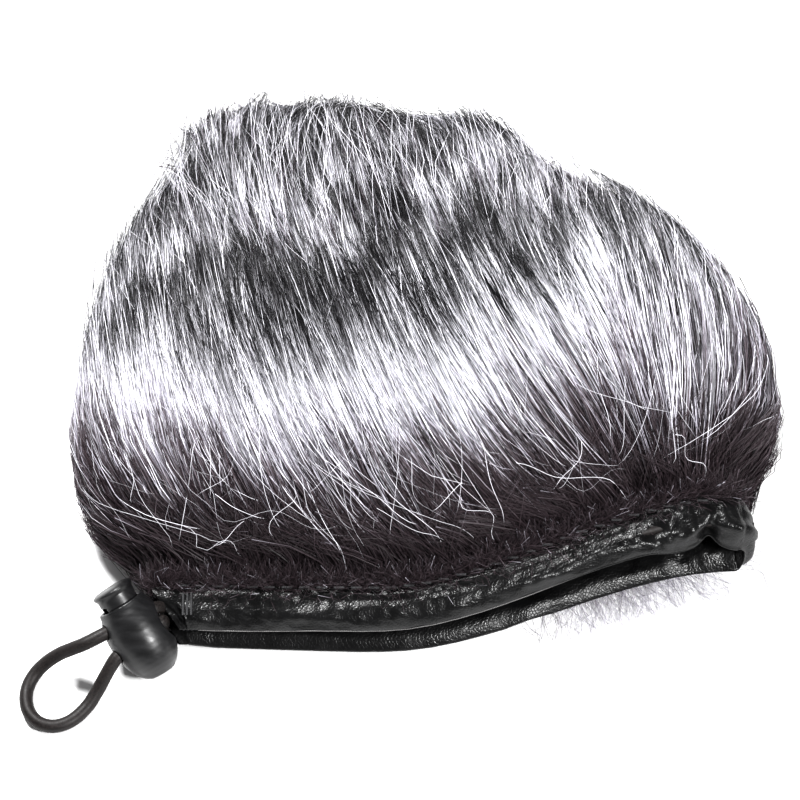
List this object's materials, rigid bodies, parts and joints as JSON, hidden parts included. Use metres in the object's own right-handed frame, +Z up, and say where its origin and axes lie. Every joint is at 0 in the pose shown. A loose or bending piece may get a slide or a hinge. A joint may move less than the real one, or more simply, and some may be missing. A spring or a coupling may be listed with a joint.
{
  "type": "furry windscreen",
  "caption": "Slip-on fur pouch windscreen for a handheld recorder, with a leatherette drawcord hem and a spring cord lock on the cord's loop.",
  "frame": {"origin": "on the surface the pouch lies on, under the middle of the fur and hem", "axes": "+X across the mouth towards its open end, +Y from the mouth to the crown, +Z up out of the front panel"},
  "size_m": [0.1516, 0.1284, 0.0447],
  "materials": {
    "fur": "long pile, silver with dark tips and a dark base",
    "knit": "matte knitted ground cloth",
    "leatherette": "fine grain, soft sheen",
    "thread_dark": "matte sewing thread",
    "thread_pale": "matte sewing thread",
    "elastic": "braided round elastic, low sheen",
    "lock_plastic": "satin moulded plastic",
    "spring_steel": "bare spring wire"
  },
  "bodies": {
    "pouch": {"fur_front": "fur", "fur_back": "fur", "backing_front": "knit", "backing_back": "knit", "edge_seam": "thread_dark", "hem_front": "leatherette", "hem_back": "leatherette", "hem_stitches_front": "thread_dark", "hem_stitches_back": "thread_dark", "lip_thread": "thread_pale", "mouth_facing": "leatherette", "exit_tacks": "thread_dark", "cord_end_tack": "thread_dark", "drawcord_front": "elastic", "drawcord_back": "elastic", "drawcord_loop": "elastic"},
    "lock": {"lock_body": "lock_plastic", "lock_spring": "spring_steel"},
    "plunger": {"lock_plunger": "lock_plastic"}
  },
  "joints": [
    {"name": "lock_slide", "type": "slide", "parent": "pouch", "child": "lock", "axis": [-0.8, -0.6, 0], "range_m": [0, 0.014], "deforming": ["drawcord_loop"]},
    {"name": "plunger_press", "type": "slide", "parent": "lock", "child": "plunger", "axis": [0.5161, -0.6881, -0.5101], "range_m": [0, 0.002], "stiffness_N_per_m": 900, "springref_m": -0.002, "deforming": ["lock_spring"]}
  ]
}
